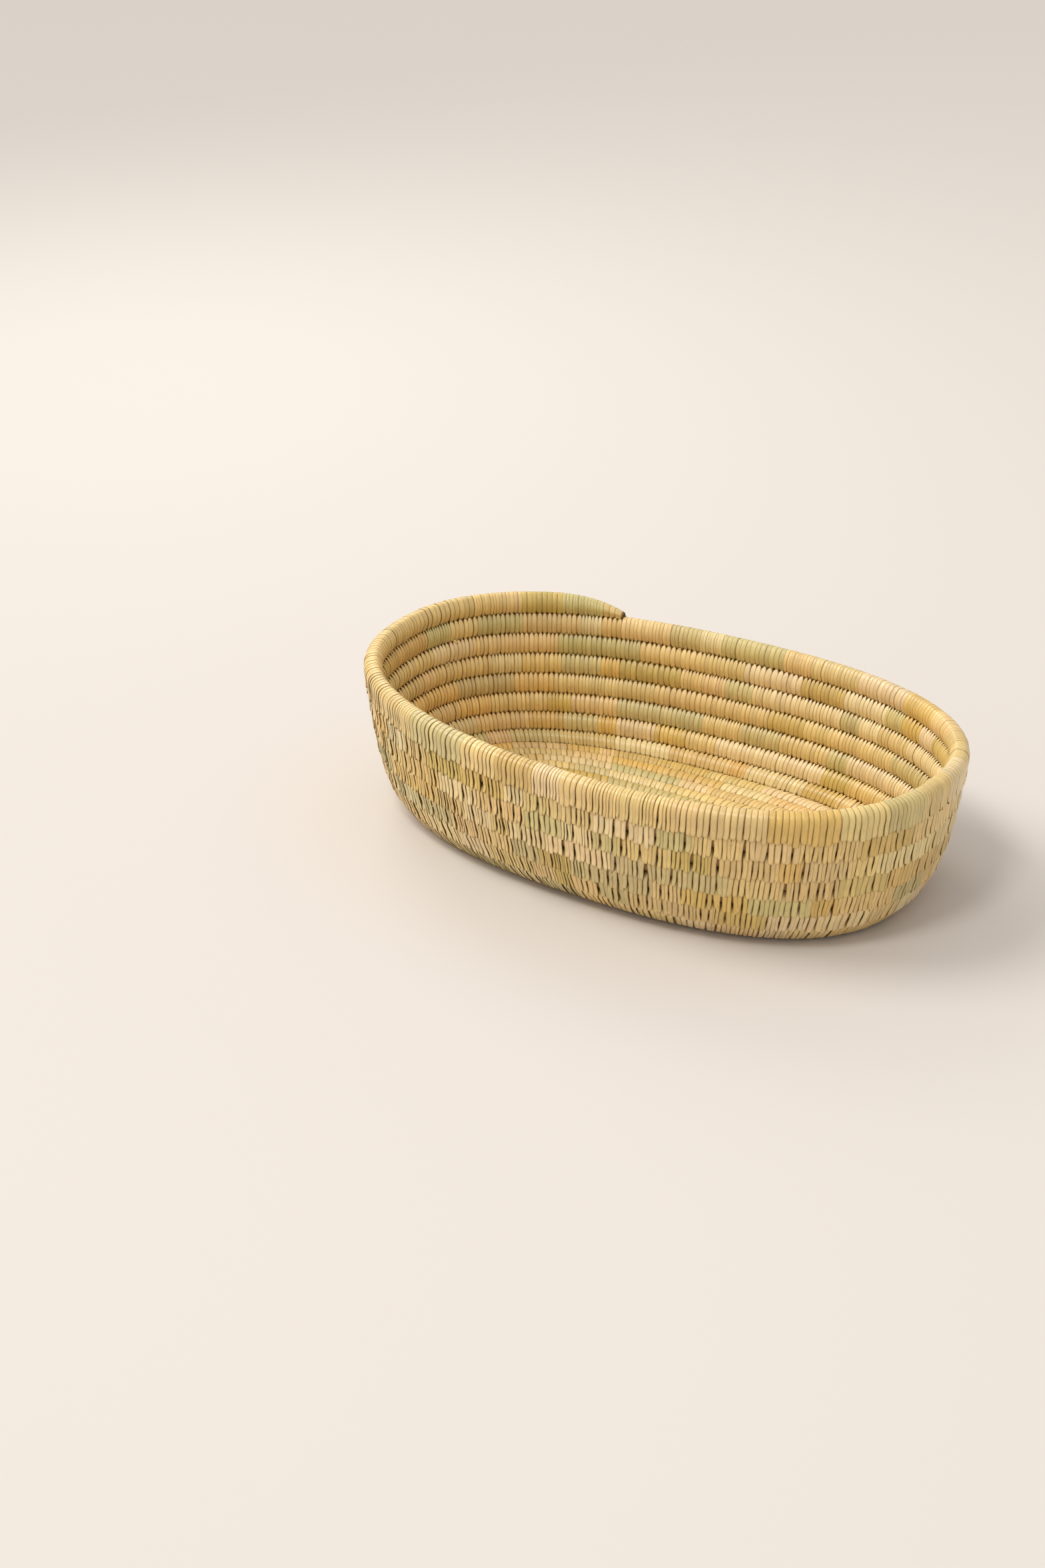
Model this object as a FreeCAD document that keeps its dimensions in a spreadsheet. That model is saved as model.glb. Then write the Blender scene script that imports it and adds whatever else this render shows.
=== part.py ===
import FreeCAD, Part

import math
import os

import Sketcher

Vector = FreeCAD.Vector
os.makedirs("parts", exist_ok=True)

# Oval coiled basket. A grass bundle, bound with palm leaf, starts as a straight bar in the
# middle of the floor, runs round it as a flat oval spiral, turns up into a flared wall and
# ends as a tapered tail on the rim. Every round is its own pair of solids: the bundle
# ("core") and the leaf wrapped round it ("binding"). Frame: +X along the basket, +Z up,
# the origin under the middle of the floor on the surface that the basket stands on.

doc = FreeCAD.newDocument("coiled_basket")

# ---------------------------------------------------------------- driving dimensions
DIMENSIONS = [
    ("floor_pitch", 10.5, "floor coils, centre to centre"),
    ("wall_pitch", 14.0, "wall coils, centre to centre along the wall"),
    ("floor_turns", 8.0, "turns before the coil starts to rise"),
    ("total_turns", 16.0, "turns from the middle to the coil's end"),
    ("bar_reach", 79.5, "half length of the line that the floor spiral runs round"),
    ("end_gain", 4.7, "how much less the two ends flare than the long sides"),
    ("floor_thickness", 9.6, "height of a floor coil"),
    ("wall_thickness", 11.4, "wall coil, through the wall"),
    ("rim_thickness", 12.0, "rim coil, through the wall"),
    ("rim_share", 0.46, "rim coil above its own line, as a share of the pitch"),
    ("turn_up", 1.25, "turns over which the floor bends up into the wall"),
    ("wall_angle", 76.0, "slope of the wall just above the floor, degrees"),
    ("rim_angle", 82.0, "slope of the wall at the rim, degrees"),
    ("oval_power", 2.3, "squareness of the rim's oval: 2 is an ellipse"),
    ("bar_power", 9.0, "squareness of the first round, beside the bar"),
    ("power_fade", 2.2, "turns over which the rounds lose that squareness"),
    ("egg_share", 0.045, "share by which the right end is wider than the middle"),
    ("rim_wave", 1.0, "rise of the rim at the ends and dip at the sides"),
    ("end_angle", 117.0, "where the coil ends, degrees from +X towards +Y"),
    ("tail_turns", 0.075, "length of the tapered tail, in turns"),
    ("tail_share", 0.22, "height of the tail's blunt end, as a share of the coil"),
    ("tail_power", 4.5, "how late the tail thins: 1 is an even taper"),
    ("shift_along", 0.3, "moves the spiral along X so that its box is centred"),
    ("shift_across", 0.5, "moves the spiral along Y so that its box is centred"),
    ("start_turns", 0.18, "where the first round leaves the bar, in turns"),
    ("core_share", 0.8, "bundle, as a share of the bound coil"),
    ("coil_gap", 0.1, "clearance between neighbouring coils"),
    ("bar_edge", 2.4, "rounding of the bar's long edges"),
]

sheet = doc.addObject("Spreadsheet::Sheet", "dimensions")
for row, (alias, value, note) in enumerate(DIMENSIONS, start=1):
    sheet.set("A%d" % row, alias)
    sheet.set("B%d" % row, str(value))
    sheet.set("C%d" % row, note)
    sheet.setAlias("B%d" % row, alias)
doc.recompute()


SIZES = {alias: float(getattr(sheet, alias)) for alias, value, note in DIMENSIONS}


def dim(alias):
    """A driving dimension as the sheet holds it."""
    return SIZES[alias]


floor_pitch = dim("floor_pitch")
wall_pitch = dim("wall_pitch")
floor_turns = dim("floor_turns")
total_turns = dim("total_turns")
core_share = dim("core_share")
coil_gap = dim("coil_gap")
tail_start = total_turns - dim("tail_turns")

# ---------------------------------------------------------------- the wall's profile
STEPS_PER_TURN = 60


def slope(v):
    """Angle of the basket's skin above the horizontal at v turns from the middle."""
    if v <= floor_turns:
        return 0.0
    rise = (v - floor_turns) / (total_turns - floor_turns)
    lean = dim("wall_angle") + (dim("rim_angle") - dim("wall_angle")) * rise
    return math.radians(lean) * (1.0 - math.exp(-(v - floor_turns) / dim("turn_up")))


def pitch_at(v):
    share = slope(v) / math.radians(dim("rim_angle"))
    return floor_pitch + (wall_pitch - floor_pitch) * share


def skin_profile():
    """Distance out from the bar's line and height, at every step of v."""
    out, up = 0.0, dim("floor_thickness") / 2.0
    profile = [(out, up)]
    for i in range(int((total_turns + 1.0) * STEPS_PER_TURN)):
        v = (i + 0.5) / STEPS_PER_TURN
        step = pitch_at(v) / STEPS_PER_TURN
        out += step * math.cos(slope(v))
        up += step * math.sin(slope(v))
        profile.append((out, up))
    return profile


profile = skin_profile()
base_height = profile[0][1]
rim_height = profile[int(total_turns * STEPS_PER_TURN)][1]
rim_reach = profile[int(total_turns * STEPS_PER_TURN)][0] + dim("bar_reach") - dim("end_gain")


def at_profile(v):
    place = max(v, 0.0) * STEPS_PER_TURN
    i = min(int(place), len(profile) - 2)
    f = place - i
    (out_a, up_a), (out_b, up_b) = profile[i], profile[i + 1]
    return out_a + (out_b - out_a) * f, up_a + (up_b - up_a) * f


def skin(v, angle):
    """Point of the basket's middle surface, v turns out and at an angle round the oval."""
    out, up = at_profile(v)
    height = (up - base_height) / (rim_height - base_height)
    power = dim("oval_power")
    power += (dim("bar_power") - power) * math.exp(-v / dim("power_fade"))
    cos_a, sin_a = math.cos(angle), math.sin(angle)
    k = (abs(cos_a) ** power + abs(sin_a) ** power) ** (-1.0 / power)
    x = (out + dim("bar_reach") - dim("end_gain") * height) * k * cos_a
    y = out * k * sin_a * (1.0 + dim("egg_share") * x / rim_reach)
    wave = dim("rim_wave") * height * math.cos(2.0 * angle)
    return Vector(x + dim("shift_along"), y + dim("shift_across"), up + wave)


def skin_normal(v, angle):
    """Unit vector square to the skin, up from the floor and into the basket's inside."""
    across = skin(v + 0.02, angle) - skin(max(v - 0.02, 0.05), angle)
    along = skin(v, angle + 0.002) - skin(v, angle - 0.002)
    normal = across.cross(along)
    normal.normalize()
    return normal


# ---------------------------------------------------------------- the coil's sections
SECTION_POINTS = 12
TIGHTEST_SPACING = 3.5


def half_thickness(u):
    out, up = at_profile(u)
    rise = min(1.0, (up - base_height) / base_height / 2.0)
    half = dim("floor_thickness") + (dim("wall_thickness") - dim("floor_thickness")) * rise
    near_rim = min(1.0, max(0.0, u - (total_turns - 1.0)) * 4.0)
    half += (dim("rim_thickness") - dim("wall_thickness")) * near_rim
    return half / 2.0


def section(u, share):
    """Closed outline of the coil at turn u, shrunk about its middle by share."""
    angle = math.radians(dim("end_angle")) + 2.0 * math.pi * (total_turns - u)
    lower = max(0.5, u - 0.5)
    upper = u + 0.5
    thick = half_thickness(u)
    if u > total_turns - 1.0:
        upper = u + 0.5 + (dim("rim_share") - 0.5) * min(1.0, (u - total_turns + 1.0) * 4.0)
    if u < 1.0:
        thick *= 0.6 + 0.4 * u
    if u > tail_start:
        taper = (u - tail_start) / (total_turns - tail_start)
        left = 1.0 - (1.0 - dim("tail_share")) * taper ** dim("tail_power")
        upper = lower + (upper - lower) * left
        thick *= 0.45 + 0.55 * left
    middle = (lower + upper) / 2.0
    half_span = (upper - lower) / 2.0 - coil_gap / 2.0 / pitch_at(u)
    sink = half_thickness(u) - thick if u < 1.0 else 0.0
    centre = skin(middle, angle)
    square = skin_normal(middle, angle)
    chord = skin(middle + half_span, angle) - skin(middle - half_span, angle)
    along = chord.cross(square)
    along.normalize()
    points = []
    for i in range(SECTION_POINTS):
        turn = 2.0 * math.pi * i / SECTION_POINTS
        v = middle + half_span * share * math.cos(turn)
        offset = thick * share * math.sin(turn) - sink
        point = skin(v, angle) + skin_normal(v, angle) * offset
        points.append(point - along * along.dot(point - centre))
    return points


def stations(u_from, u_to, spacing):
    """Turns between u_from and u_to that lie evenly, about spacing apart along the coil."""
    steps = 400
    turns = [u_from + (u_to - u_from) * i / steps for i in range(steps + 1)]
    start_angle = math.radians(dim("end_angle")) + 2.0 * math.pi * total_turns
    line = [skin(max(u, 0.75), start_angle - 2.0 * math.pi * u) for u in turns]
    lengths = [0.0]
    for before, after in zip(line, line[1:]):
        lengths.append(lengths[-1] + before.distanceToPoint(after))
    count = max(6, int(round(lengths[-1] / spacing)))
    even, i = [], 0
    for j in range(count + 1):
        wanted = lengths[-1] * j / count
        while i < steps - 1 and lengths[i + 1] < wanted:
            i += 1
        share = (wanted - lengths[i]) / (lengths[i + 1] - lengths[i])
        even.append(turns[i] + (turns[i + 1] - turns[i]) * share)
    return even


def nearer(point, start, finish):
    """Below zero if the point is nearer to start than to finish."""
    return point.distanceToPoint(start) - point.distanceToPoint(finish)


def coil_halves(turns, share):
    """Smooth face through the coil's sections at the turns, in two halves side by side,
    and its two end wires."""
    grid = []
    for u in turns:
        points = section(u, share)
        grid.append(points + [points[0]])
    surface = Part.BSplineSurface()
    surface.interpolate(grid)
    surface.setVPeriodic()
    u_first, u_last, v_first, v_last = surface.bounds()
    v_middle = (v_first + v_last) / 2.0
    halves = [
        surface.toShape(u_first, u_last, v_first, v_middle),
        surface.toShape(u_first, u_last, v_middle, v_last),
    ]
    start = (grid[0][0] + grid[0][SECTION_POINTS // 2]) / 2.0
    finish = (grid[-1][0] + grid[-1][SECTION_POINTS // 2]) / 2.0
    first_edges, last_edges = [], []
    for half in halves:
        ends = sorted(half.Edges, key=lambda edge: edge.Length)[:2]
        ends.sort(key=lambda edge: nearer(edge.CenterOfMass, start, finish))
        first_edges.append(ends[0])
        last_edges.append(ends[1])
    return halves, Part.Wire(first_edges), Part.Wire(last_edges)


def coil_solid(turns, share):
    halves, first, last = coil_halves(turns, share)
    shell = Part.makeShell(halves + [Part.Face(first), Part.Face(last)])
    shell.sewShape()
    solid = Part.Solid(shell)
    if solid.Volume < 0.0:
        solid.reverse()
    return solid


parts = []


def add_round(label, u_from, u_to, spacing):
    """A round's bundle, and its binding, which is the bound coil less the bundle. A sweep
    would keep one section all along, so the coil is skinned through many sections."""
    turns = stations(u_from, u_to, spacing)
    core = coil_solid(turns, core_share)
    binding = coil_solid(turns, 1.0).cut(core)
    for name, shape in ((label + "_core", core), (label + "_binding", binding)):
        piece = doc.addObject("Part::Feature", name)
        piece.Shape = shape
        piece.Placement = FreeCAD.Placement()
        piece.Label = name
        parts.append(piece)


# ---------------------------------------------------------------- the bar in the middle
bar = doc.addObject("PartDesign::Body", "bar_body")
xy_plane = [f for f in bar.Origin.OriginFeatures if f.Role == "XY_Plane"][0]
slot = bar.newObject("Sketcher::SketchObject", "bar_outline")
slot.AttachmentSupport = [(xy_plane, "")]
slot.MapMode = "FlatFace"
half_line = dim("bar_reach") - 0.5 * floor_pitch
half_bar = floor_pitch / 2.0 - coil_gap
Z_AXIS = Vector(0, 0, 1)
right_end = Part.Circle(Vector(half_line, 0, 0), Z_AXIS, half_bar)
left_end = Part.Circle(Vector(-half_line, 0, 0), Z_AXIS, half_bar)
slot.addGeometry(Part.LineSegment(Vector(-half_line, half_bar, 0), Vector(half_line, half_bar, 0)))
slot.addGeometry(Part.ArcOfCircle(right_end, -math.pi / 2.0, math.pi / 2.0))
slot.addGeometry(Part.LineSegment(Vector(half_line, -half_bar, 0), Vector(-half_line, -half_bar, 0)))
slot.addGeometry(Part.ArcOfCircle(left_end, math.pi / 2.0, 3.0 * math.pi / 2.0))
slot.addConstraint(Sketcher.Constraint("Tangent", 0, 2, 1, 2))
slot.addConstraint(Sketcher.Constraint("Tangent", 1, 1, 2, 1))
slot.addConstraint(Sketcher.Constraint("Tangent", 2, 2, 3, 2))
slot.addConstraint(Sketcher.Constraint("Tangent", 3, 1, 0, 1))
slot.addConstraint(Sketcher.Constraint("Horizontal", 0))
slot.addConstraint(Sketcher.Constraint("Equal", 1, 3))
slot.addConstraint(Sketcher.Constraint("Symmetric", 1, 3, 3, 3, -1, 1))
end_radius = slot.addConstraint(Sketcher.Constraint("Radius", 1, half_bar))
slot.renameConstraint(end_radius, "end_radius")
end_spacing = slot.addConstraint(Sketcher.Constraint("DistanceX", 3, 3, 1, 3, 2.0 * half_line))
slot.renameConstraint(end_spacing, "end_spacing")
slot.setExpression("Constraints.end_radius", "dimensions.floor_pitch / 2 - dimensions.coil_gap")
slot.setExpression("Constraints.end_spacing", "2 * dimensions.bar_reach - dimensions.floor_pitch")
bar.setExpression("Placement.Base.x", "dimensions.shift_along")
bar.setExpression("Placement.Base.y", "dimensions.shift_across")
bar_pad = bar.newObject("PartDesign::Pad", "bar_pad")
bar_pad.Profile = slot
bar_pad.setExpression("Length", "dimensions.floor_thickness")
doc.recompute()
flat_faces = []
for number, face in enumerate(bar_pad.Shape.Faces, start=1):
    if abs(face.normalAt(0, 0).z) > 0.99:
        flat_faces.append("Face%d" % number)
bar_fillet = bar.newObject("PartDesign::Fillet", "bar_fillet")
bar_fillet.Base = (bar_pad, flat_faces)
bar_fillet.setExpression("Radius", "dimensions.bar_edge")

rod = doc.addObject("Part::Cylinder", "bar_rod")
rod.setExpression("Radius", "dimensions.core_share * dimensions.floor_thickness / 2")
rod.setExpression("Height", "2 * dimensions.bar_reach + 2 * dimensions.floor_pitch")
rod_start = "dimensions.shift_along - dimensions.bar_reach - dimensions.floor_pitch"
rod.setExpression("Placement.Base.x", rod_start)
rod.setExpression("Placement.Base.y", "dimensions.shift_across")
rod.setExpression("Placement.Base.z", "dimensions.floor_thickness / 2")
rod.Placement.Rotation = FreeCAD.Rotation(Vector(0, 1, 0), 90)

bar_core = doc.addObject("Part::Common", "bar_core")
bar_core.Base = bar
bar_core.Tool = rod
bar_core.Label = "floor_bar_core"
bar_binding = doc.addObject("Part::Cut", "bar_binding")
bar_binding.Base = bar
bar_binding.Tool = rod
bar_binding.Label = "floor_bar_binding"
parts.extend([bar_core, bar_binding])

# ---------------------------------------------------------------- the rounds and the tail
CORNER_ROUND = int(floor_turns) + 1
LAST_ROUND = int(total_turns)
for number in range(1, LAST_ROUND + 1):
    u_from = max(dim("start_turns"), number - 1.0)
    u_to = min(float(number), tail_start)
    if number < CORNER_ROUND:
        label = "floor_round_%d" % number
    elif number == CORNER_ROUND:
        label = "corner_round"
    elif number < LAST_ROUND:
        label = "wall_round_%d" % (number - CORNER_ROUND)
    else:
        label = "rim_round"
    add_round(label, u_from, u_to, TIGHTEST_SPACING + number)
add_round("rim_tail", tail_start, total_turns, 2.0 * TIGHTEST_SPACING)

# ---------------------------------------------------------------- checks and export
doc.recompute()
for item in doc.Objects:
    if "Invalid" in item.State or "Error" in item.State:
        raise RuntimeError("%s did not compute: %s" % (item.Name, item.State))
for item in parts:
    if item.Shape.isNull() or not item.Shape.isValid():
        raise RuntimeError("%s has no valid shape" % item.Label)
    if len(item.Shape.Solids) != 1:
        raise RuntimeError("%s is %d solids" % (item.Label, len(item.Shape.Solids)))
whole = FreeCAD.BoundBox()
for item in parts:
    whole.add(item.Shape.BoundBox)
print("overall", whole)
for item in parts:
    item.Shape.exportStep(os.path.join("parts", item.Label + ".step"))
    box = item.Shape.BoundBox
    size = (box.XLength, box.YLength, box.ZLength)
    print("%-24s %7.1f x %6.1f x %5.1f mm, %8.0f mm3" % ((item.Label,) + size + (item.Shape.Volume,)))
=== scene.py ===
import math

import bpy
import numpy as np
from mathutils import Matrix, Vector


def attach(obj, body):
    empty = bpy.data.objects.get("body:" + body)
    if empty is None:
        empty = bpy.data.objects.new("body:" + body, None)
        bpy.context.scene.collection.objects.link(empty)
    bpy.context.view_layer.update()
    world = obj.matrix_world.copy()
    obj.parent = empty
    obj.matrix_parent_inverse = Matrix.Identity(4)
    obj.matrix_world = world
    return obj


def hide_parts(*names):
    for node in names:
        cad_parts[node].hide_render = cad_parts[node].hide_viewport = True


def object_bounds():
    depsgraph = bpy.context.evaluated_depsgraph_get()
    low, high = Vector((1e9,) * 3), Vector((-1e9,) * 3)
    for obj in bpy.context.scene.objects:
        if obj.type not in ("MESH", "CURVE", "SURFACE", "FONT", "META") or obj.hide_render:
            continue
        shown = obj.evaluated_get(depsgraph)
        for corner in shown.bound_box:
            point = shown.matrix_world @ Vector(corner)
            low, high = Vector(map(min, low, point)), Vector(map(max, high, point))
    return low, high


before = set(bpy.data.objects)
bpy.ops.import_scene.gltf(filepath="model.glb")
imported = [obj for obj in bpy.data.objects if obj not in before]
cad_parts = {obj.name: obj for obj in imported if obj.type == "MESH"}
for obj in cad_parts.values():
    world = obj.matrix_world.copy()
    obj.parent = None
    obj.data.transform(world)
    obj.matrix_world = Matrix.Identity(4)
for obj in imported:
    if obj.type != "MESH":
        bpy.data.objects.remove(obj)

cad_box = [list(map(float, corner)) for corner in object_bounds()]
rng = np.random.default_rng(20)

# ---------------------------------------------------------------- the basket's own sizes
# The same driving dimensions as the CAD model, in millimetres, turns and degrees.
MM = 0.001
FLOOR_PITCH = 10.5
WALL_PITCH = 14.0
FLOOR_TURNS = 8.0
TOTAL_TURNS = 16.0
BAR_REACH = 79.5
END_GAIN = 4.7
FLOOR_THICKNESS = 9.6
WALL_THICKNESS = 11.4
RIM_THICKNESS = 12.0
RIM_SHARE = 0.46
TURN_UP = 1.25
WALL_ANGLE = 76.0
RIM_ANGLE = 82.0
OVAL_POWER = 2.3
BAR_POWER = 9.0
POWER_FADE = 2.2
EGG_SHARE = 0.045
RIM_WAVE = 1.0
END_ANGLE = 117.0
TAIL_TURNS = 0.075
TAIL_SHARE = 0.22
TAIL_POWER = 4.5
SHIFT_ALONG = 0.3
SHIFT_ACROSS = 0.5
START_TURNS = 0.18
TAIL_START = TOTAL_TURNS - TAIL_TURNS

# The rim's coil reaches its own size over this part of its turn.
RIM_BLEND = 0.25
# The coil starts at the bar at this share of its thickness, and keeps this share at its end.
START_THICKNESS = 0.6
TAIL_THICKNESS = 0.45

# ---------------------------------------------------------------- the basket's skin
STEPS_PER_TURN = 60


def slope(v):
    rise = np.clip((v - FLOOR_TURNS) / (TOTAL_TURNS - FLOOR_TURNS), 0.0, None)
    lean = np.radians(WALL_ANGLE + (RIM_ANGLE - WALL_ANGLE) * rise)
    return lean * (1.0 - np.exp(-np.clip(v - FLOOR_TURNS, 0.0, None) / TURN_UP))


def pitch_at(v):
    return FLOOR_PITCH + (WALL_PITCH - FLOOR_PITCH) * slope(v) / math.radians(RIM_ANGLE)


steps = (np.arange(int((TOTAL_TURNS + 1.5) * STEPS_PER_TURN)) + 0.5) / STEPS_PER_TURN
run = pitch_at(steps) / STEPS_PER_TURN
PROFILE_V = np.concatenate([[0.0], steps + 0.5 / STEPS_PER_TURN])
PROFILE_OUT = np.concatenate([[0.0], np.cumsum(run * np.cos(slope(steps)))])
PROFILE_UP = FLOOR_THICKNESS / 2 + np.concatenate([[0.0], np.cumsum(run * np.sin(slope(steps)))])
BASE_UP = FLOOR_THICKNESS / 2
RIM_UP = float(np.interp(TOTAL_TURNS, PROFILE_V, PROFILE_UP))
RIM_REACH = float(np.interp(TOTAL_TURNS, PROFILE_V, PROFILE_OUT)) + BAR_REACH - END_GAIN


def skin(v, angle):
    """Points of the basket's middle surface, v turns out and at angles round the oval."""
    out = np.interp(v, PROFILE_V, PROFILE_OUT)
    up = np.interp(v, PROFILE_V, PROFILE_UP)
    height = (up - BASE_UP) / (RIM_UP - BASE_UP)
    power = OVAL_POWER + (BAR_POWER - OVAL_POWER) * np.exp(-v / POWER_FADE)
    c, s = np.cos(angle), np.sin(angle)
    k = (np.abs(c) ** power + np.abs(s) ** power) ** (-1.0 / power)
    x = (out + BAR_REACH - END_GAIN * height) * k * c
    y = out * k * s * (1.0 + EGG_SHARE * x / RIM_REACH)
    z = up + RIM_WAVE * height * np.cos(2.0 * angle)
    return np.stack([x + SHIFT_ALONG, y + SHIFT_ACROSS, z], -1)


def unit(vectors):
    return vectors / np.maximum(np.linalg.norm(vectors, axis=-1, keepdims=True), 1e-9)


def skin_normal(v, angle):
    across = skin(v + 0.03, angle) - skin(np.maximum(v - 0.03, 0.05), angle)
    along = skin(v, angle + 0.004) - skin(v, angle - 0.004)
    return unit(np.cross(across, along))


def angle_at(u):
    return math.radians(END_ANGLE) + 2.0 * math.pi * (TOTAL_TURNS - u)


def near_rim(u):
    return np.clip((u - (TOTAL_TURNS - 1.0)) / RIM_BLEND, 0.0, 1.0)


def half_thickness(u):
    up = np.interp(u, PROFILE_V, PROFILE_UP)
    rise = np.clip((up - BASE_UP) / BASE_UP / 2.0, 0.0, 1.0)
    full = FLOOR_THICKNESS + (WALL_THICKNESS - FLOOR_THICKNESS) * rise
    return (full + (RIM_THICKNESS - WALL_THICKNESS) * near_rim(u)) / 2.0


def coil_limits(u):
    """Lower and upper edge of the coil in turns, and its half thickness, at turn u."""
    lower = np.maximum(0.5, u - 0.5)
    upper = u + 0.5 + (RIM_SHARE - 0.5) * near_rim(u)
    taper = np.clip((u - TAIL_START) / TAIL_TURNS, 0.0, 1.0)
    left = 1.0 - (1.0 - TAIL_SHARE) * taper ** TAIL_POWER
    started = START_THICKNESS + (1.0 - START_THICKNESS) * np.minimum(u, 1.0)
    ending = TAIL_THICKNESS + (1.0 - TAIL_THICKNESS) * left
    return lower, lower + (upper - lower) * left, half_thickness(u) * started * ending


def on_coil(u, a, b):
    """Points at a (share of the coil's height from its middle) and b (share of its half
    thickness, + inwards) at turn u. Below a = -0.5 they lie on the coil underneath."""
    lower, upper, thick = coil_limits(u)
    v = np.where(a > -0.5, (lower + upper) / 2.0 + a * (upper - lower), lower + a + 0.5)
    v = np.maximum(v, 0.02)
    below = np.clip((-0.3 - a) / 0.3, 0.0, 1.0)
    depth = thick + (half_thickness(u) - thick) * below * below * (3.0 - 2.0 * below)
    sink = np.where(u < 1.0, half_thickness(u) - depth, 0.0)
    angle = angle_at(u)
    return skin(v, angle) + skin_normal(v, angle) * (b * depth - sink)[..., None]


# ---------------------------------------------------------------- meshes from grids
def grid_mesh(name, points, tones, strip_uv, closed_rows=False, closed_columns=False):
    """One mesh from many equal grids: points is (pieces, rows, columns, 3) in millimetres,
    tones spreads to the same shape, strip_uv is (pieces, rows, columns, 2) in millimetres."""
    count, rows, columns = points.shape[:3]
    index = np.arange(count * rows * columns).reshape(count, rows, columns)
    row_a, row_b = (index, np.roll(index, -1, 1)) if closed_rows else (index[:, :-1], index[:, 1:])
    if closed_columns:
        quads = np.stack([row_a, np.roll(row_a, -1, 2), np.roll(row_b, -1, 2), row_b], -1)
    else:
        quads = np.stack([row_a[..., :-1], row_a[..., 1:], row_b[..., 1:], row_b[..., :-1]], -1)
    quad_rows, quad_columns = quads.shape[1:3]
    quads = quads.reshape(-1, 4)
    mesh = bpy.data.meshes.new(name)
    mesh.vertices.add(index.size)
    mesh.vertices.foreach_set("co", (points * MM).astype(np.float32).ravel())
    mesh.loops.add(quads.size)
    mesh.loops.foreach_set("vertex_index", quads.astype(np.int32).ravel())
    mesh.polygons.add(len(quads))
    mesh.polygons.foreach_set("loop_start", np.arange(0, quads.size, 4, dtype=np.int32))
    mesh.polygons.foreach_set("loop_total", np.full(len(quads), 4, dtype=np.int32))
    mesh.polygons.foreach_set("use_smooth", np.ones(len(quads), dtype=bool))
    tone = mesh.attributes.new("tone", "FLOAT_COLOR", "POINT")
    colours = np.ones((count, rows * columns, 4), dtype=np.float32)
    colours[..., :3] = np.broadcast_to(tones, points.shape).reshape(count, -1, 3)
    tone.data.foreach_set("color", colours.ravel())
    leaf = mesh.attributes.new("leaf", "FLOAT2", "CORNER")
    leaf.data.foreach_set("vector", strip_uv.reshape(-1, 2)[quads.ravel()].astype(np.float32).ravel())
    bake = mesh.uv_layers.new(name="OFBake")
    side = int(math.ceil(math.sqrt(count)))
    place = np.arange(count)
    corner_column = (np.arange(quad_columns)[None, :, None] + np.array([0, 1, 1, 0])) / quad_columns
    corner_row = (np.arange(quad_rows)[:, None, None] + np.array([0, 0, 1, 1])) / quad_rows
    u = (place % side)[:, None, None, None] + 0.04 + 0.92 * corner_column[None]
    v = (place // side)[:, None, None, None] + 0.04 + 0.92 * corner_row[None]
    u, v = np.broadcast_arrays(u, v)
    bake.data.foreach_set("uv", (np.stack([u, v], -1) / side).astype(np.float32).ravel())
    mesh.update()
    mesh.validate()
    thing = bpy.data.objects.new(name, mesh)
    bpy.context.scene.collection.objects.link(thing)
    return thing


# ---------------------------------------------------------------- one leaf stitch
# The path of a stitch round its coil, from where it dives into the coil below on the inside,
# over the top, to where it ends half way down the coil below on the outside.
# Height is a share of the coil's own, from its middle. Depth is a share of its half thickness,
# inwards from the wall's middle. Width is a share of the stitch's own, and lean is its shift
# along the coil in millimetres. Where another coil lies on top, its stitches pinch this one's
# leaf into points, to the last column's share of the width.
STITCH_PATH = np.array([
    # height, depth, width, lean, pinch
    (-0.64, 0.22, 0.50, -1.0, 1.0),
    (-0.59, 0.38, 0.62, -0.92, 1.0),
    (-0.55, 0.50, 0.74, -0.82, 1.0),
    (-0.50, 0.56, 0.86, -0.70, 1.0),
    (-0.45, 0.62, 0.93, -0.58, 1.0),
    (-0.39, 0.70, 0.98, -0.46, 1.0),
    (-0.31, 0.80, 1.0, -0.34, 1.0),
    (-0.22, 0.90, 1.0, -0.22, 1.0),
    (-0.12, 0.97, 1.0, -0.1, 1.0),
    (0.0, 1.0, 1.0, 0.0, 1.0),
    (0.13, 0.97, 1.0, 0.0, 1.0),
    (0.24, 0.88, 1.0, 0.0, 0.99),
    (0.33, 0.77, 1.0, 0.0, 0.90),
    (0.40, 0.67, 1.0, 0.0, 0.68),
    (0.46, 0.55, 1.0, 0.0, 0.40),
    (0.50, 0.40, 1.0, 0.0, 0.20),
    (0.505, 0.10, 1.0, 0.0, 0.30),
    (0.49, -0.26, 1.0, 0.02, 0.60),
    (0.44, -0.52, 1.0, 0.05, 0.85),
    (0.36, -0.73, 1.0, 0.10, 0.97),
    (0.25, -0.88, 0.99, 0.17, 1.0),
    (0.12, -0.97, 0.98, 0.25, 1.0),
    (0.0, -1.0, 0.98, 0.33, 1.0),
    (-0.14, -1.0, 0.97, 0.42, 1.0),
    (-0.28, -0.99, 0.97, 0.52, 1.0),
    (-0.40, -0.98, 0.97, 0.60, 1.0),
    (-0.50, -0.99, 0.97, 0.67, 1.0),
    (-0.59, -1.02, 0.97, 0.74, 1.0),
    (-0.67, -1.05, 0.95, 0.81, 1.0),
    (-0.74, -1.07, 0.90, 0.88, 1.0),
    (-0.80, -1.075, 0.80, 0.94, 1.0),
    (-0.84, -1.05, 0.62, 0.98, 1.0),
    (-0.86, -0.86, 0.45, 1.0, 1.0),
])
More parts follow.
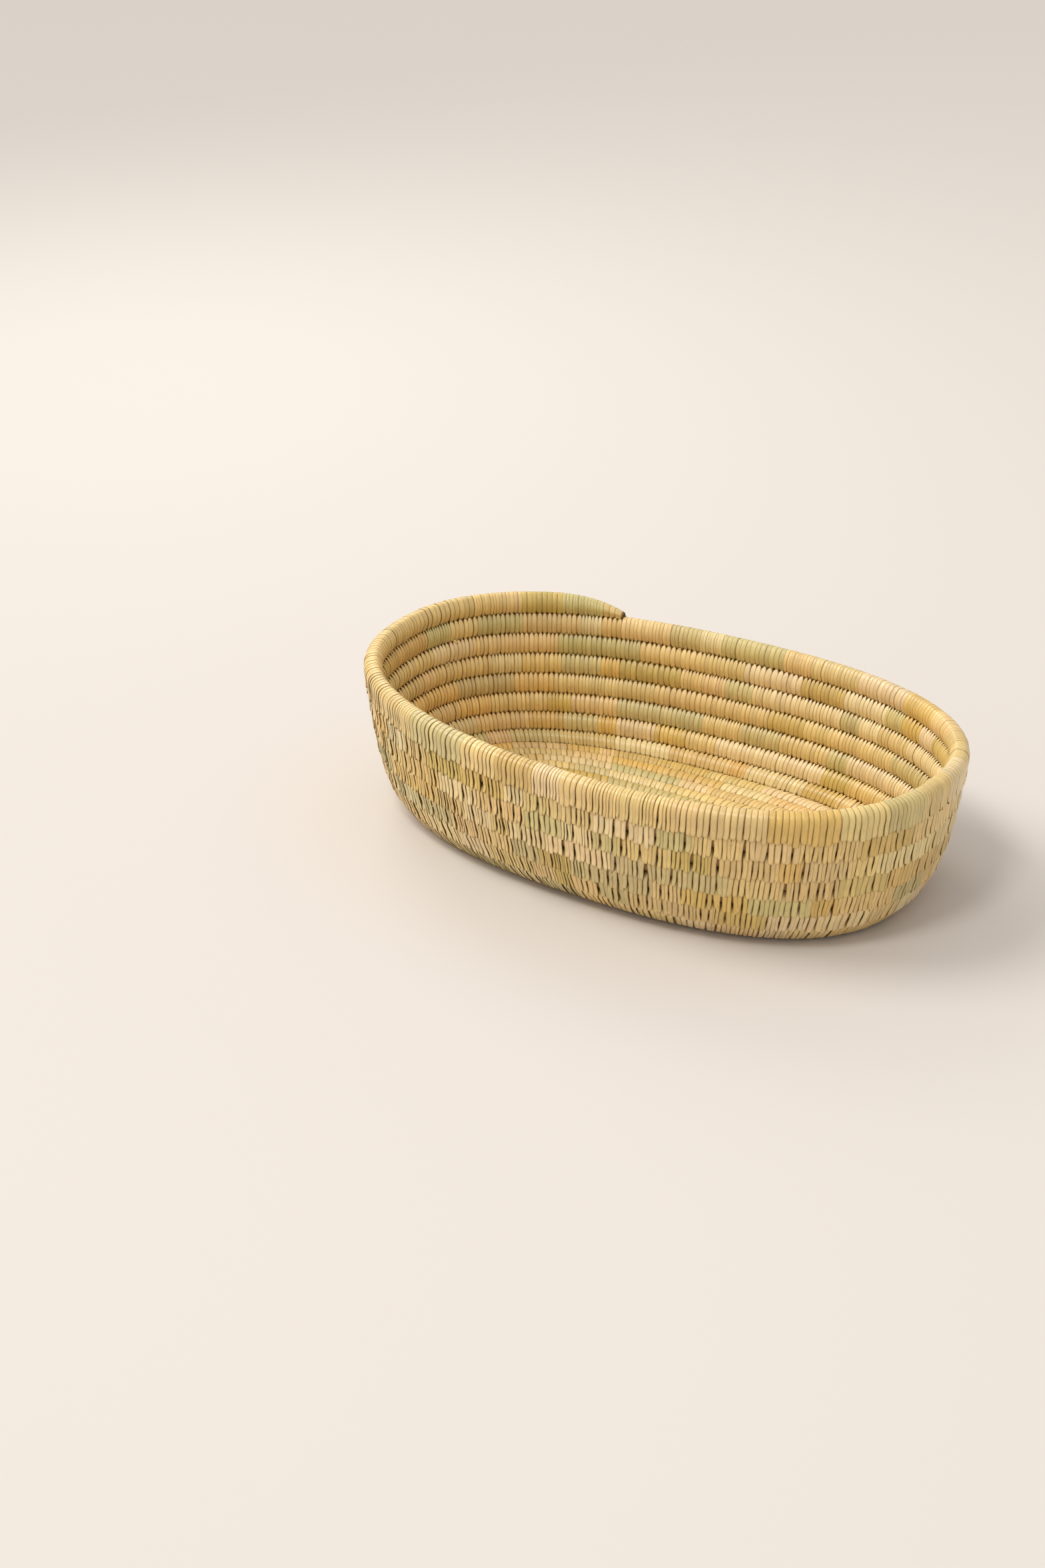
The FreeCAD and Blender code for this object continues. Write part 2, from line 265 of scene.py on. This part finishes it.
# Across a stitch: place across its width, drop of the surface in millimetres, and the share of the
# leaf's tone kept there. Painted shade darkens it along its edges and underneath, where neighbouring
# stitches meet.
STITCH_ACROSS = np.array([
    (-0.47, 0.50, 0.36),
    (-0.50, 0.13, 0.78),
    (-0.30, 0.02, 1.0),
    (0.0, 0.0, 1.0),
    (0.30, 0.02, 1.0),
    (0.50, 0.13, 0.78),
    (0.47, 0.50, 0.36),
])
ACROSS_PLACE, ACROSS_DROP, ACROSS_LIT = STITCH_ACROSS.T
# How painted shade darkens red, green and blue, so that it turns orange brown, and how much shade is
# painted on the leaf under the coil above and in the groove.
SHADE_TINT = np.array([1.0, 1.22, 1.75])
BURIED_SHADE = 0.55
GROOVE_SHADE = 0.5

# Mean widths of the stitches in millimetres, their real width as a share of that, and the
# share that is left open between them outside.
FLOOR_STITCH = 3.9
WALL_STITCH = 3.05
OVERLAP = 1.03
GAP_OUTSIDE = 0.08
RIM_GAP_OUTSIDE = 0.02
# Leaf lower than this above the floor is pressed flat by it, in millimetres.
PRESSED = 1.6

# How unevenly the stitches lie. Widths are shares of the mean, ends are shares of the coil's
# height, and leans and shifts are in millimetres along the coil.
STRIP_WIDTH_SPREAD = 0.19
WIDTH_SPREAD = 0.10
OUTER_END_SPREAD = 0.055
INNER_END_SPREAD = 0.022
OUTER_WANDER = 0.65
RIM_OUTER_WANDER = 0.3
INNER_LEAN = 0.3
INNER_WANDER = 0.32
SHIFT_SPREAD = 0.10
LIFT_RANGE = (-0.06, 0.20)
ROLL_MEAN = 0.10
ROLL_SPREAD = 0.09

# Leaf tones, as linear colours, with how often each is used.
LEAF_TONES = {
    "straw": ((0.86, 0.620, 0.255), 0.42),
    "pale_straw": ((0.92, 0.705, 0.360), 0.20),
    "grey_green": ((0.71, 0.570, 0.250), 0.18),
    "golden": ((0.85, 0.570, 0.180), 0.13),
    "olive": ((0.74, 0.520, 0.165), 0.07),
}
TONES = np.array([tone for tone, odds in LEAF_TONES.values()])
TONE_ODDS = np.array([odds for tone, odds in LEAF_TONES.values()])
GRASS_TONE = np.array([0.36, 0.19, 0.055])
# Each stitch's leaf starts somewhere else in the leaf's pattern, up to this far, in millimetres.
LEAF_PATTERN = 400.0


def strips(count):
    """Which leaf strip each stitch belongs to: one strip makes a run of 5 to 14 stitches."""
    return np.repeat(np.arange(count), rng.integers(5, 15, count))[:count]


def strip_tones(strip):
    """A tone for each stitch, nearly alike along a strip."""
    kinds = rng.choice(len(TONES), len(strip), p=TONE_ODDS)[strip]
    drift = rng.normal(0.0, 0.012, (len(strip), 3))[strip]
    shade = rng.uniform(0.93, 1.06, len(strip))[strip] * rng.uniform(0.90, 1.07, len(strip))
    return np.clip(TONES[kinds] * shade[:, None] + drift, 0.03, 0.95)


def stitch_places(u_from, u_to, width):
    """Turn, width, millimetres per turn and strip of each stitch from u_from to u_to."""
    turns = np.linspace(u_from, u_to, 4000)
    line = on_coil(turns, np.zeros_like(turns), np.zeros_like(turns))
    length = np.concatenate([[0.0], np.cumsum(np.linalg.norm(np.diff(line, axis=0), axis=1))])
    strip = strips(int(length[-1] / width * 1.6) + 4)
    widths = width * np.clip(rng.normal(1.0, STRIP_WIDTH_SPREAD, len(strip)), 0.68, 1.28)[strip]
    widths *= np.clip(rng.normal(1.0, WIDTH_SPREAD, len(strip)), 0.7, 1.3)
    kept = max(1, int(np.searchsorted(np.cumsum(widths), length[-1])))
    widths = widths[:kept] * length[-1] / widths[:kept].sum()
    middles = np.cumsum(widths) - widths / 2.0
    places = np.interp(middles, length, turns)
    return places, widths, np.interp(places, turns, np.gradient(length, turns)), strip[:kept]


def stitch_routes(path, widths, covered):
    """Where each stitch's leaf runs: height and depth as in STITCH_PATH, shift along the coil
    and half width in millimetres. Each is one row of path points per stitch."""
    count = len(widths)
    height, depth, breadth, lean, pinch = path.T
    gap = GAP_OUTSIDE if covered else RIM_GAP_OUTSIDE
    wander = OUTER_WANDER if covered else RIM_OUTER_WANDER
    # Each stitch's lower ends reach a little more or less far, and wander along the coil.
    outer_end = np.clip((-height - 0.3) / 0.5, 0.0, 1.0) * (depth < 0)
    inner_end = np.clip((-height - 0.3) / 0.38, 0.0, 1.0) * (depth > 0)
    a = height + outer_end * rng.normal(0.0, OUTER_END_SPREAD, (count, 1))
    a = a + inner_end * rng.normal(0.0, INNER_END_SPREAD, (count, 1))
    b = np.repeat(depth[None], count, 0)
    shift = np.where(depth > 0, lean * INNER_LEAN, lean * rng.normal(1.0, wander, (count, 1)))
    bend = np.sin(np.clip(lean, 0.0, 1.0) * math.pi)
    shift = shift + bend * rng.normal(0.0, 0.5 * wander, (count, 1))
    shift = shift + inner_end * rng.normal(0.0, INNER_WANDER, (count, 1))
    shift = shift + rng.normal(0.0, SHIFT_SPREAD, (count, 1))
    outward = np.clip(-depth * 1.6, 0.0, 1.0)
    narrow = 1.0 - gap * outward * np.clip(rng.normal(1.0, 0.5, (count, 1)), 0.0, 2.6)
    share = breadth * pinch if covered else breadth
    return a, b, shift, widths[:, None] * share * narrow * OVERLAP, outward


def flatter_in_floor(u, a, b):
    """The depths b, where a are the heights. The floor's coils are flatter than the wall's."""
    in_floor = np.clip(FLOOR_TURNS + 0.6 - u, 0.0, 1.0)
    near_middle = np.clip(1.0 - np.abs(2.0 * a), 0.0, 1.0)
    squared = np.sign(b) * np.abs(b) ** (1.0 - 0.30 * near_middle)
    return np.where(b < 0, b * (1.0 - 0.05 * in_floor), b + in_floor * (squared - b))


def stitches(name, u_from, u_to, width, covered):
    """The leaf stitches of the coil from turn u_from to turn u_to, each its own closed band.
    covered says that a coil lies on top of this one, which pinches its leaf, and shade is painted
    where it covers it."""
    places, widths, speed, strip = stitch_places(u_from, u_to, width)
    count = len(places)
    path = STITCH_PATH
    a, b, shift, half, outward = stitch_routes(path, widths, covered)
    lift = rng.uniform(*LIFT_RANGE, (count, 1))
    roll = rng.normal(ROLL_MEAN, ROLL_SPREAD, (count, 1)) * (0.5 + 0.5 * outward)
    camber = 0.55 + 0.9 * np.clip(0.95 - np.abs(path[:, 1]), 0.0, 1.0)
    # The leaf's thickness is square to its path, in the plane across the coil.
    pitch = pitch_at(places)[:, None]
    thick = half_thickness(places)[:, None]
    step_a = np.gradient(a, axis=1) * pitch
    step_b = np.gradient(b, axis=1) * thick
    size = np.sqrt(step_a ** 2 + step_b ** 2)
    out_a, out_b = -step_b / size, step_a / size
    across = ACROSS_PLACE[None, None]
    drop = ACROSS_DROP[None, None]
    raised = lift[..., None] - drop * camber[None, :, None] - roll[..., None] * across * 2.0
    u = places[:, None, None] + (shift[..., None] + across * half[..., None]) / speed[:, None, None]
    a_all = a[..., None] + raised * out_a[..., None] / pitch[..., None]
    b_all = b[..., None] + raised * out_b[..., None] / thick[..., None]
    points = on_coil(u, a_all, flatter_in_floor(u, a_all, b_all))
    pressed = PRESSED * (points[..., 2] + PRESSED) / (2.0 * PRESSED)
    points[..., 2] = np.where(points[..., 2] < PRESSED, pressed, points[..., 2])
    travel = np.concatenate([np.zeros((count, 1)), np.cumsum(size[:, :-1], 1)], 1)
    leaf = np.zeros(points.shape[:3] + (2,))
    leaf[..., 0] = across * half[..., None] + rng.uniform(0.0, LEAF_PATTERN, (count, 1, 1))
    leaf[..., 1] = travel[..., None] + rng.uniform(0.0, LEAF_PATTERN, (count, 1, 1))
    # Painted shade: the leaf is darkened where the coil above covers it, in the groove, and along
    # each stitch's edges and underneath.
    buried = np.clip((path[:, 0] - 0.27) / 0.2, 0.0, 1.0) * (path[:, 1] < 0.3)
    in_groove = np.clip(-0.44 - path[:, 0], 0.0, 0.12) / 0.12 * (path[:, 1] > 0.0)
    lit_share = 1.0 - BURIED_SHADE * covered * buried - GROOVE_SHADE * in_groove
    lit_share = lit_share[:, None] * ACROSS_LIT
    tones = strip_tones(strip)[:, None, None, :] * lit_share[None, :, :, None] ** SHADE_TINT
    return grid_mesh(name, points, tones, leaf)


def core_tube(name, u_from, u_to, fill):
    """The grass bundle: a tube with the ridges of its outer stems."""
    count = max(24, int((u_to - u_from) * 220))
    turns = np.linspace(u_from, u_to, count)
    around = np.arange(48) / 48.0 * 2.0 * math.pi
    u, turn = np.meshgrid(turns, around, indexing="ij")
    stems = 0.035 * np.abs(np.sin(turn * 9.0 + 2.0 * np.sin(u * 37.0)))
    stems = stems + 0.012 * np.sin(turn * 23.0 + u * 90.0)
    radius = fill - 0.03 + stems
    # The bundle sags onto the coil below, so no light passes between the coils.
    height = 0.5 * radius + 0.11 * (np.cos(turn) < 0.0) * (u > 1.5)
    points = on_coil(u, height * np.cos(turn), radius * np.sin(turn))
    leaf = np.zeros((1,) + u.shape + (2,))
    leaf[0, ..., 0] = turn * 5.0
    leaf[0, ..., 1] = (u - u_from) * 900.0
    return grid_mesh(name, points[None], GRASS_TONE, leaf, closed_columns=True)


# ---------------------------------------------------------------- materials
def node(tree, kind, **values):
    made = tree.nodes.new(kind)
    for key, value in values.items():
        setattr(made, key, value)
    return made


def noise(tree, coordinates, scale, detail, roughness=0.5):
    """Noise along and across the leaf, where scale is its frequency per millimetre."""
    mapping = node(tree, "ShaderNodeMapping")
    mapping.inputs["Scale"].default_value = scale
    tree.links.new(coordinates, mapping.inputs["Vector"])
    made = node(tree, "ShaderNodeTexNoise")
    made.inputs["Scale"].default_value = 1.0
    made.inputs["Detail"].default_value = detail
    made.inputs["Roughness"].default_value = roughness
    tree.links.new(mapping.outputs["Vector"], made.inputs["Vector"])
    return made.outputs["Fac"]


def mapped(tree, value, from_low, from_high, to_low, to_high):
    """value, with the range from_low to from_high carried to to_low to to_high."""
    made = node(tree, "ShaderNodeMapRange")
    made.inputs["From Min"].default_value = from_low
    made.inputs["From Max"].default_value = from_high
    made.inputs["To Min"].default_value = to_low
    made.inputs["To Max"].default_value = to_high
    tree.links.new(value, made.inputs["Value"])
    return made.outputs["Result"]


def leaf_material(name, dark, streak, bump_height, roughness):
    """Dry plant leaf: tone of its strip, long fibres, mottling, fine ribs and a satin face."""
    material = bpy.data.materials.new(name)
    material.use_nodes = True
    tree = material.node_tree
    link = tree.links.new
    shader = tree.nodes["Principled BSDF"]
    tone = node(tree, "ShaderNodeAttribute", attribute_name="tone")
    leaf = node(tree, "ShaderNodeAttribute", attribute_name="leaf")
    fibres = noise(tree, leaf.outputs["Vector"], (4.2, 0.16, 1.0), 5.0, 0.62)
    blotches = noise(tree, leaf.outputs["Vector"], (0.30, 0.10, 1.0), 3.0)
    shade = node(tree, "ShaderNodeMath", operation="MULTIPLY")
    link(mapped(tree, fibres, 0.32, 0.68, 1.0 - streak, 1.0 + streak * 0.45), shade.inputs[0])
    link(mapped(tree, blotches, 0.3, 0.7, 0.90, 1.06), shade.inputs[1])
    scaled = node(tree, "ShaderNodeVectorMath", operation="SCALE")
    link(tone.outputs["Color"], scaled.inputs[0])
    link(shade.outputs["Value"], scaled.inputs["Scale"])
    warm = node(tree, "ShaderNodeMix", data_type="RGBA", blend_type="MIX")
    link(mapped(tree, blotches, 0.56, 0.78, 0.0, 0.30), warm.inputs["Factor"])
    link(scaled.outputs["Vector"], warm.inputs["A"])
    warm.inputs["B"].default_value = dark + (1.0,)
    link(warm.outputs["Result"], shader.inputs["Base Color"])
    rough = mapped(tree, fibres, 0.0, 1.0, roughness - 0.08, roughness + 0.12)
    link(rough, shader.inputs["Roughness"])
    bump = node(tree, "ShaderNodeBump")
    bump.inputs["Strength"].default_value = 0.55
    bump.inputs["Distance"].default_value = bump_height * MM
    link(fibres, bump.inputs["Height"])
    link(bump.outputs["Normal"], shader.inputs["Normal"])
    return material


palm_leaf = leaf_material("palm_leaf", (0.56, 0.36, 0.11), 0.22, 0.10, 0.30)
grass_core = leaf_material("grass_core", (0.20, 0.09, 0.025), 0.45, 0.5, 0.72)


def add_piece(piece, material, slot, *nodes):
    piece.data.materials.append(material)
    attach(piece, "root")
    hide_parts(*nodes)


# ---------------------------------------------------------------- the coil, round by round
CORNER_ROUND = int(FLOOR_TURNS) + 1
LAST_ROUND = int(TOTAL_TURNS)


def round_name(number):
    if number < CORNER_ROUND:
        return "floor_round_%d" % number
    if number == CORNER_ROUND:
        return "corner_round"
    if number < LAST_ROUND:
        return "wall_round_%d" % (number - CORNER_ROUND)
    return "rim_round"


# The grass bundle's share of the coil's thickness, and how far short of the end the tail's
# last stitch stops, in turns.
GRASS_FILL = 0.90
TAIL_FILL = 0.88
END_MARGIN = 0.0006
for number in range(1, LAST_ROUND + 1):
    name = round_name(number)
    u_from = max(START_TURNS, number - 1.0)
    u_to = min(float(number), TAIL_START)
    width = FLOOR_STITCH if number < CORNER_ROUND else WALL_STITCH
    leafs = stitches("leaf_" + name, u_from, u_to, width, number < LAST_ROUND)
    add_piece(leafs, palm_leaf, "palm_leaf", name + "_binding")
    grass = core_tube("grass_" + name, u_from, u_to, GRASS_FILL)
    add_piece(grass, grass_core, "grass_core", name + "_core")
tail_leafs = stitches("leaf_rim_tail", TAIL_START, TOTAL_TURNS - END_MARGIN, WALL_STITCH, False)
add_piece(tail_leafs, palm_leaf, "palm_leaf", "rim_tail_binding")
tail_grass = core_tube("grass_rim_tail", TAIL_START, TOTAL_TURNS, TAIL_FILL)
add_piece(tail_grass, grass_core, "grass_core", "rim_tail_core")


# ---------------------------------------------------------------- stray ends of leaf
FRAY_COUNT = 90
FRAY_INSIDE_ODDS = 0.45
# Height and depth on the coil where a stray fibre starts, as in STITCH_PATH.
FRAY_ROOT_INSIDE = (-0.52, 0.66)
FRAY_ROOT_OUTSIDE = (-0.80, -1.04)
FRAY_LENGTH = (3.5, 8.5)
FRAY_LIFT = (0.4, 1.7)
FRAY_HALF_WIDTH = (0.22, 0.60)
FRAY_RIDGE = 0.08
FRAY_POINTS = 7


def stray_fibres(name, count):
    """Short slivers of leaf that stand off the wall, each thinning out to a curled tip."""
    u = rng.uniform(FLOOR_TURNS + 2.0, TAIL_START - 0.05, count)
    inside = rng.random(count) < FRAY_INSIDE_ODDS
    a = np.where(inside, FRAY_ROOT_INSIDE[0], FRAY_ROOT_OUTSIDE[0]) + rng.normal(0.0, 0.03, count)
    b = np.where(inside, FRAY_ROOT_INSIDE[1], FRAY_ROOT_OUTSIDE[1])
    root = on_coil(u, a, b)
    along_coil = unit(on_coil(u + 0.0005, a, b) - root)
    off_coil = unit(on_coil(u, a, b * 1.1) - root)
    down_wall = unit(on_coil(u, a - 0.02, b) - root)
    heading = rng.uniform(-1.1, 1.1, count)[:, None]
    ahead = unit(along_coil * np.sin(heading) + down_wall * np.cos(heading))
    beside = unit(np.cross(ahead, off_coil))
    step = np.linspace(0.0, 1.0, FRAY_POINTS)[None, :, None]
    length = rng.uniform(*FRAY_LENGTH, count)[:, None, None]
    lift = rng.uniform(*FRAY_LIFT, count)[:, None, None]
    curl = rng.normal(0.0, 1.0, count)[:, None, None]
    spine = root[:, None] + ahead[:, None] * length * step
    spine = spine + off_coil[:, None] * lift * np.sin(step * 2.6)
    spine = spine + beside[:, None] * curl * step ** 2
    half = rng.uniform(*FRAY_HALF_WIDTH, count)[:, None, None] * (1.02 - step ** 2)
    side = np.array([-1.0, 0.0, 1.0])
    points = spine[:, :, None] + beside[:, None, None] * half[..., None] * side[:, None]
    points = points + off_coil[:, None, None] * FRAY_RIDGE * (1.0 - np.abs(side[:, None]))
    leaf = np.zeros(points.shape[:3] + (2,))
    leaf[..., 0] = half * side + 7.0 * np.arange(count)[:, None, None]
    leaf[..., 1] = step * length
    return grid_mesh(name, points, strip_tones(np.arange(count))[:, None, None, :], leaf)


frays = stray_fibres("leaf_frays", FRAY_COUNT)
frays.data.materials.append(palm_leaf)
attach(frays, "root")


# ---------------------------------------------------------------- the bar in the floor
def bar_surface(x, turn, radius):
    """Points round the bar at x along it, with turn 0 at its +Y side and pi/2 on top."""
    half_y = (FLOOR_PITCH / 2.0 - 0.1) * radius
    half_z = FLOOR_THICKNESS / 2.0 * radius
    c, s = np.cos(turn), np.sin(turn)
    y = np.sign(c) * np.abs(c) ** 0.8 * half_y
    z = FLOOR_THICKNESS / 2.0 + np.sign(s) * np.abs(s) ** 0.8 * half_z
    return np.stack(np.broadcast_arrays(x + SHIFT_ALONG, y + SHIFT_ACROSS, z), -1)


BAR_HALF = BAR_REACH + 0.5
BAR_SLANT = 1.1
BAR_SLANT_SPREAD = 0.15
BAR_OVERLAP = 0.97


def bar_stitches(name):
    """The leaf wrapped round the bar: closed rings side by side, a little slanted."""
    count = int(2 * BAR_HALF / FLOOR_STITCH)
    width = 2 * BAR_HALF / count
    middles = -BAR_HALF + width * (np.arange(count) + 0.5)
    turn = (np.arange(28) / 28.0 * 2.0 * math.pi)[None, :, None]
    slant = BAR_SLANT * np.sin(turn) + rng.normal(0.0, BAR_SLANT_SPREAD, (count, 1, 1))
    place = middles[:, None, None] + slant + ACROSS_PLACE * width * BAR_OVERLAP
    points = bar_surface(place, turn, 1.0 - ACROSS_DROP / (FLOOR_THICKNESS / 2.0))
    leaf = np.zeros(place.shape + (2,))
    leaf[..., 0] = ACROSS_PLACE * width + rng.uniform(0.0, LEAF_PATTERN, (count, 1, 1))
    leaf[..., 1] = turn * 5.0
    # Painted shade along the edges and underneath of each ring.
    tones = strip_tones(strips(count))[:, None, None, :] * ACROSS_LIT[:, None] ** SHADE_TINT
    return grid_mesh(name, points, tones, leaf, closed_rows=True)


def bar_grass(name):
    """The grass bundle of the bar, with the ridges of its outer stems."""
    along = np.linspace(-BAR_HALF, BAR_HALF, 60)
    around = np.arange(40) / 40.0 * 2.0 * math.pi
    x, turn = np.meshgrid(along, around, indexing="ij")
    leaf = np.stack([turn * 5.0, x], -1)[None]
    points = bar_surface(x, turn, 0.9 + 0.02 * np.sin(turn * 14.0))[None]
    return grid_mesh(name, points, GRASS_TONE, leaf, closed_columns=True)


add_piece(bar_stitches("leaf_floor_bar"), palm_leaf, "palm_leaf", "floor_bar_binding")
add_piece(bar_grass("grass_floor_bar"), grass_core, "grass_core", "floor_bar_core")


# ---------------------------------------------------------------- floor, light and camera
FLOOR_SPAN = 30.0
FLOOR_GAP = 0.0004
FLOOR_COLOUR = (0.69, 0.645, 0.605, 1.0)
SKY_COLOUR = (1.0, 0.965, 0.93, 1.0)
SKY_STRENGTH = 0.66


def add_floor(name, height):
    """A wide plain floor at height."""
    material = bpy.data.materials.new(name)
    material.use_nodes = True
    shader = material.node_tree.nodes["Principled BSDF"]
    shader.inputs["Base Color"].default_value = FLOOR_COLOUR
    shader.inputs["Roughness"].default_value = 0.9
    signs = ((-1.0, -1.0), (1.0, -1.0), (1.0, 1.0), (-1.0, 1.0))
    corners = [(x * FLOOR_SPAN, y * FLOOR_SPAN, height) for x, y in signs]
    mesh = bpy.data.meshes.new(name)
    mesh.from_pydata(corners, [], [(0, 1, 2, 3)])
    mesh.materials.append(material)
    made = bpy.data.objects.new(name, mesh)
    bpy.context.scene.collection.objects.link(made)
    return made


def add_light(name, kind, aim, power, colour, place=None, size=1.0):
    """A sun shining along aim, or a round area light at place that faces aim."""
    light = bpy.data.lights.new(name, kind)
    light.energy = power
    light.color = colour
    lamp = bpy.data.objects.new(name, light)
    if kind == "SUN":
        light.angle = size
        facing = Vector(aim)
    else:
        light.shape = "DISK"
        light.size = size
        lamp.location = place
        facing = Vector(aim) - Vector(place)
    lamp.rotation_euler = facing.to_track_quat("-Z", "Y").to_euler()
    bpy.context.scene.collection.objects.link(lamp)


low, high = [Vector(corner) for corner in cad_box]
middle = (low + high) / 2.0
studio_floor = add_floor("studio_floor", min(low.z, 0.0) - FLOOR_GAP)

world = bpy.data.worlds.new("studio")
world.use_nodes = True
world.node_tree.nodes["Background"].inputs["Color"].default_value = SKY_COLOUR
world.node_tree.nodes["Background"].inputs["Strength"].default_value = SKY_STRENGTH
bpy.context.scene.world = world

# The camera's turn from the basket's front and its rise, then its distance, side step and lift
# in metres from the origin.
CAMERA_TURN = math.radians(33.5)
CAMERA_RISE = math.radians(26.7)
CAMERA_REACH = 1.915
CAMERA_SIDE = -0.0838
CAMERA_LIFT = 0.0345
CAMERA_LENS = 68.9
CAMERA_SENSOR = 36.0
turn_sine, turn_cosine = math.sin(CAMERA_TURN), math.cos(CAMERA_TURN)
rise_sine, rise_cosine = math.sin(CAMERA_RISE), math.cos(CAMERA_RISE)
back = Vector((turn_sine * rise_cosine, -turn_cosine * rise_cosine, rise_sine))
right = Vector((turn_cosine, turn_sine, 0.0))
up = back.cross(right)

key_from = -right * 0.95 - back * 0.25 + Vector((0.0, 0.0, 1.15))
add_light("key", "SUN", -key_from, 1.4, (1.0, 0.98, 0.94), size=0.5)
sheen_from = middle - right * 0.5 - back * 1.3 + Vector((0.0, 0.0, 1.5))
add_light("sheen", "AREA", middle, 4.5, (1.0, 0.99, 0.96), place=sheen_from, size=0.7)
front_from = middle - right * 0.55 + back * 0.9 + Vector((0.0, 0.0, 1.3))
add_light("front", "AREA", middle, 9.0, (1.0, 0.99, 0.97), place=front_from, size=0.45)

camera_data = bpy.data.cameras.new("photo_view")
camera_data.sensor_width = CAMERA_SENSOR
camera_data.lens = CAMERA_LENS
camera = bpy.data.objects.new("photo_view", camera_data)
spot = back * CAMERA_REACH + right * CAMERA_SIDE + up * CAMERA_LIFT
camera.matrix_world = Matrix((
    (right.x, up.x, back.x, spot.x),
    (right.y, up.y, back.y, spot.y),
    (right.z, up.z, back.z, spot.z),
    (0.0, 0.0, 0.0, 1.0),
))
bpy.context.scene.collection.objects.link(camera)
bpy.context.scene.camera = camera
bpy.context.scene.view_settings.view_transform = "Standard"

bpy.context.view_layer.update()
